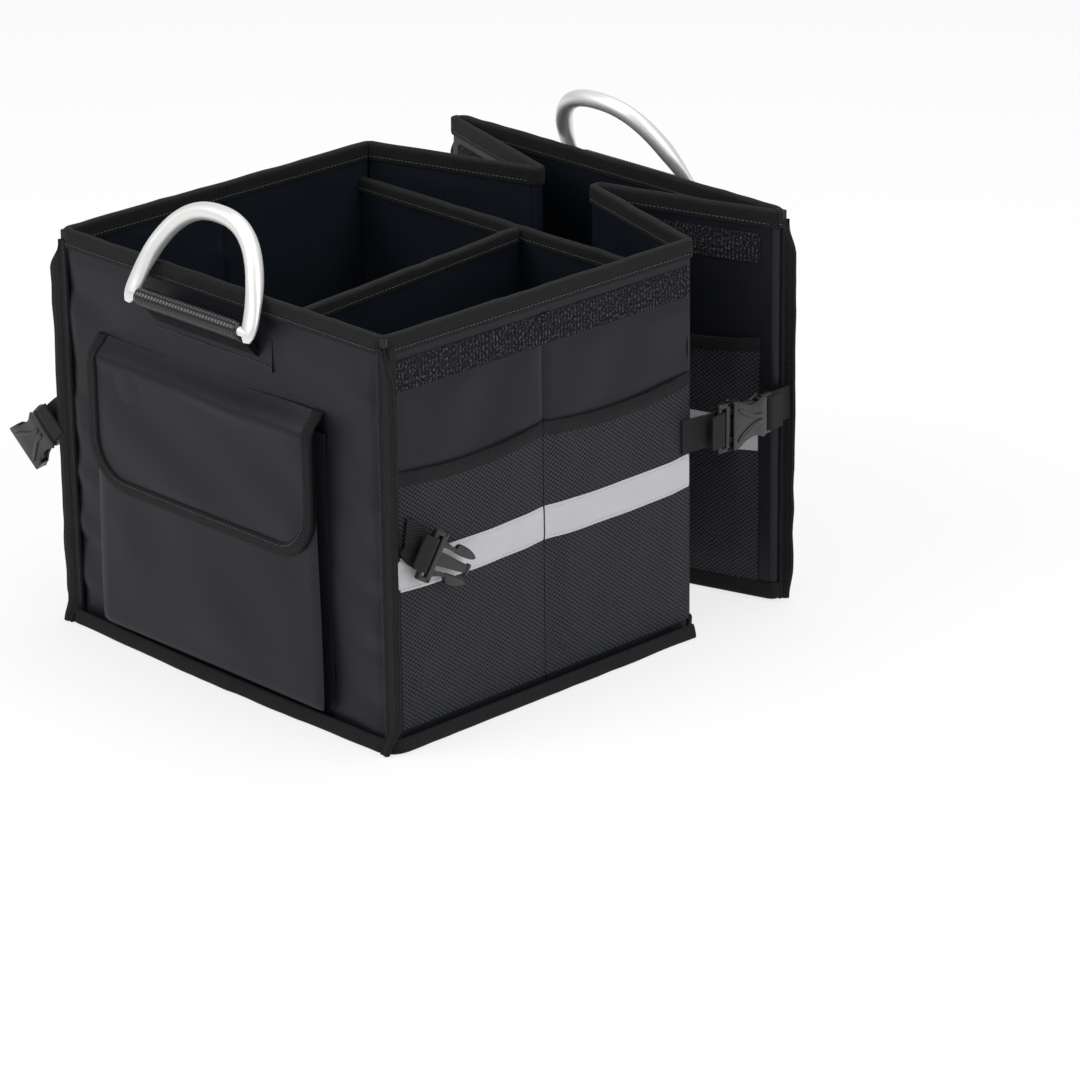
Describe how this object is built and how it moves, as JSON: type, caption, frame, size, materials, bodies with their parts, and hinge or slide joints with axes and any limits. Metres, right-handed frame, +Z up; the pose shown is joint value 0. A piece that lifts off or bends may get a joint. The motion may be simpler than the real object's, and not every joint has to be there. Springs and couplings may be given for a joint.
{
  "type": "car trunk organizer",
  "caption": "Open folding trunk organizer of boarded coated cloth with dividers, a bellows-folding second bay, flap pockets, mesh side pockets and metal carrying handles.",
  "frame": {"origin": "centre of the near bay's underside", "axes": "+Z up, +Y from the near panel to the far panel, +X to the right seen from the near panel"},
  "size_m": [0.4207, 0.4394, 0.3557],
  "materials": {
    "coated_cloth": "coated polyester cloth, satin, with a faint weave",
    "lining": "coated lining, smooth satin",
    "binding_tape": "woven tape, matte",
    "mesh": "knitted mesh with a ribbed elastic top",
    "reflective_tape": "silver reflective tape, satin",
    "loop_strip": "brushed loop pile",
    "webbing": "woven webbing",
    "buckle_plastic": "moulded, satin",
    "handle_metal": "satin anodised"
  },
  "bodies": {
    "root": {"near_panel": "coated_cloth", "near_panel_binding": "binding_tape", "near_pocket": "coated_cloth", "near_handle_sleeve": "coated_cloth", "near_right_front_wall": "coated_cloth", "near_right_back_wall": "coated_cloth", "near_right_loop_strip": "loop_strip", "near_right_mesh_pocket": "mesh", "near_right_reflector": "reflective_tape", "near_left_front_wall": "coated_cloth", "near_left_back_wall": "coated_cloth", "near_left_loop_strip": "loop_strip", "near_left_mesh_pocket": "mesh", "near_left_reflector": "reflective_tape", "near_floor": "coated_cloth", "near_base_board": "lining", "cross_divider": "lining", "lengthwise_divider": "lining", "near_right_strap": "webbing", "near_right_buckle": "buckle_plastic", "near_left_strap": "webbing", "near_left_buckle": "buckle_plastic", "middle_right_strap": "webbing", "middle_right_buckle": "buckle_plastic", "middle_left_strap": "webbing", "middle_left_buckle": "buckle_plastic"},
    "near_handle": {"near_handle": "handle_metal"},
    "near_flap": {"near_pocket_flap": "coated_cloth"},
    "far_right_front": {"far_right_front_wall": "coated_cloth", "far_right_front_loop_strip": "loop_strip", "far_right_front_mesh_pocket": "mesh", "far_right_front_reflector": "reflective_tape"},
    "far_right_back": {"far_right_back_wall": "coated_cloth", "far_right_back_loop_strip": "loop_strip", "far_right_back_mesh_pocket": "mesh", "far_right_back_reflector": "reflective_tape"},
    "far_left_front": {"far_left_front_wall": "coated_cloth", "far_left_front_loop_strip": "loop_strip", "far_left_front_mesh_pocket": "mesh", "far_left_front_reflector": "reflective_tape"},
    "far_left_back": {"far_left_back_wall": "coated_cloth", "far_left_back_loop_strip": "loop_strip", "far_left_back_mesh_pocket": "mesh", "far_left_back_reflector": "reflective_tape"},
    "far_end": {"far_panel": "coated_cloth", "far_panel_binding": "binding_tape", "far_panel_hem": "binding_tape", "far_pocket": "coated_cloth", "far_handle_sleeve": "coated_cloth", "far_right_strap": "webbing", "far_right_buckle": "buckle_plastic", "far_left_strap": "webbing", "far_left_buckle": "buckle_plastic"},
    "far_handle": {"far_handle": "handle_metal"},
    "far_flap": {"far_pocket_flap": "coated_cloth"},
    "floor_near_leaf": {"far_floor_near_leaf": "lining"},
    "floor_far_leaf": {"far_floor_far_leaf": "lining"}
  },
  "joints": [
    {"name": "far_bay_fold", "type": "hinge", "parent": "root", "child": "far_right_front", "pos_m": [0.1644, 0.145, 0], "axis": [0, 0, -1], "range_deg": [0, 73]},
    {"name": "far_right_middle_fold", "type": "hinge", "parent": "far_right_front", "child": "far_right_back", "pos_m": [0.03358, 0.19253, 0], "axis": [0, 0, 1], "range_deg": [0, 146]},
    {"name": "far_panel_corner", "type": "hinge", "parent": "far_right_back", "child": "far_end", "pos_m": [0.1644, 0.24005, 0], "axis": [0, 0, -1], "range_deg": [0, 73]},
    {"name": "far_left_corner_fold", "type": "hinge", "parent": "root", "child": "far_left_front", "pos_m": [-0.1644, 0.145, 0], "axis": [0, 0, 1], "range_deg": [0, 73]},
    {"name": "far_left_middle_fold", "type": "hinge", "parent": "far_left_front", "child": "far_left_back", "pos_m": [-0.03358, 0.19253, 0], "axis": [0, 0, -1], "range_deg": [0, 146]},
    {"name": "far_floor_rise", "type": "hinge", "parent": "root", "child": "floor_near_leaf", "pos_m": [0, 0.1466, 0.00642], "axis": [-1, 0, 0], "range_deg": [0, 73]},
    {"name": "far_floor_ridge", "type": "hinge", "parent": "floor_near_leaf", "child": "floor_far_leaf", "pos_m": [0, 0.19253, 0.13605], "axis": [1, 0, 0], "range_deg": [0, 146]},
    {"name": "near_handle_swing", "type": "hinge", "parent": "root", "child": "near_handle", "pos_m": [-0.006, -0.1625, 0.28], "axis": [1, 0, 0], "range_deg": [0, 196.9]},
    {"name": "far_handle_swing", "type": "hinge", "parent": "far_end", "child": "far_handle", "pos_m": [-0.004, 0.26345, 0.287], "axis": [-1, 0, 0], "range_deg": [0, 204.4]},
    {"name": "near_flap_lift", "type": "hinge", "parent": "root", "child": "near_flap", "pos_m": [-0.011, -0.1478, 0.2315], "axis": [1, 0, 0], "range_deg": [-120, 0]},
    {"name": "far_flap_lift", "type": "hinge", "parent": "far_end", "child": "far_flap", "pos_m": [0.011, 0.24875, 0.2315], "axis": [-1, 0, 0], "range_deg": [-120, 0]}
  ],
  "couplings": [
    {"joint": "far_right_middle_fold", "follows": "far_bay_fold", "ratio": 2},
    {"joint": "far_panel_corner", "follows": "far_bay_fold", "ratio": 1},
    {"joint": "far_left_corner_fold", "follows": "far_bay_fold", "ratio": 1},
    {"joint": "far_left_middle_fold", "follows": "far_bay_fold", "ratio": 2},
    {"joint": "far_floor_rise", "follows": "far_bay_fold", "ratio": 1},
    {"joint": "far_floor_ridge", "follows": "far_bay_fold", "ratio": 2}
  ]
}
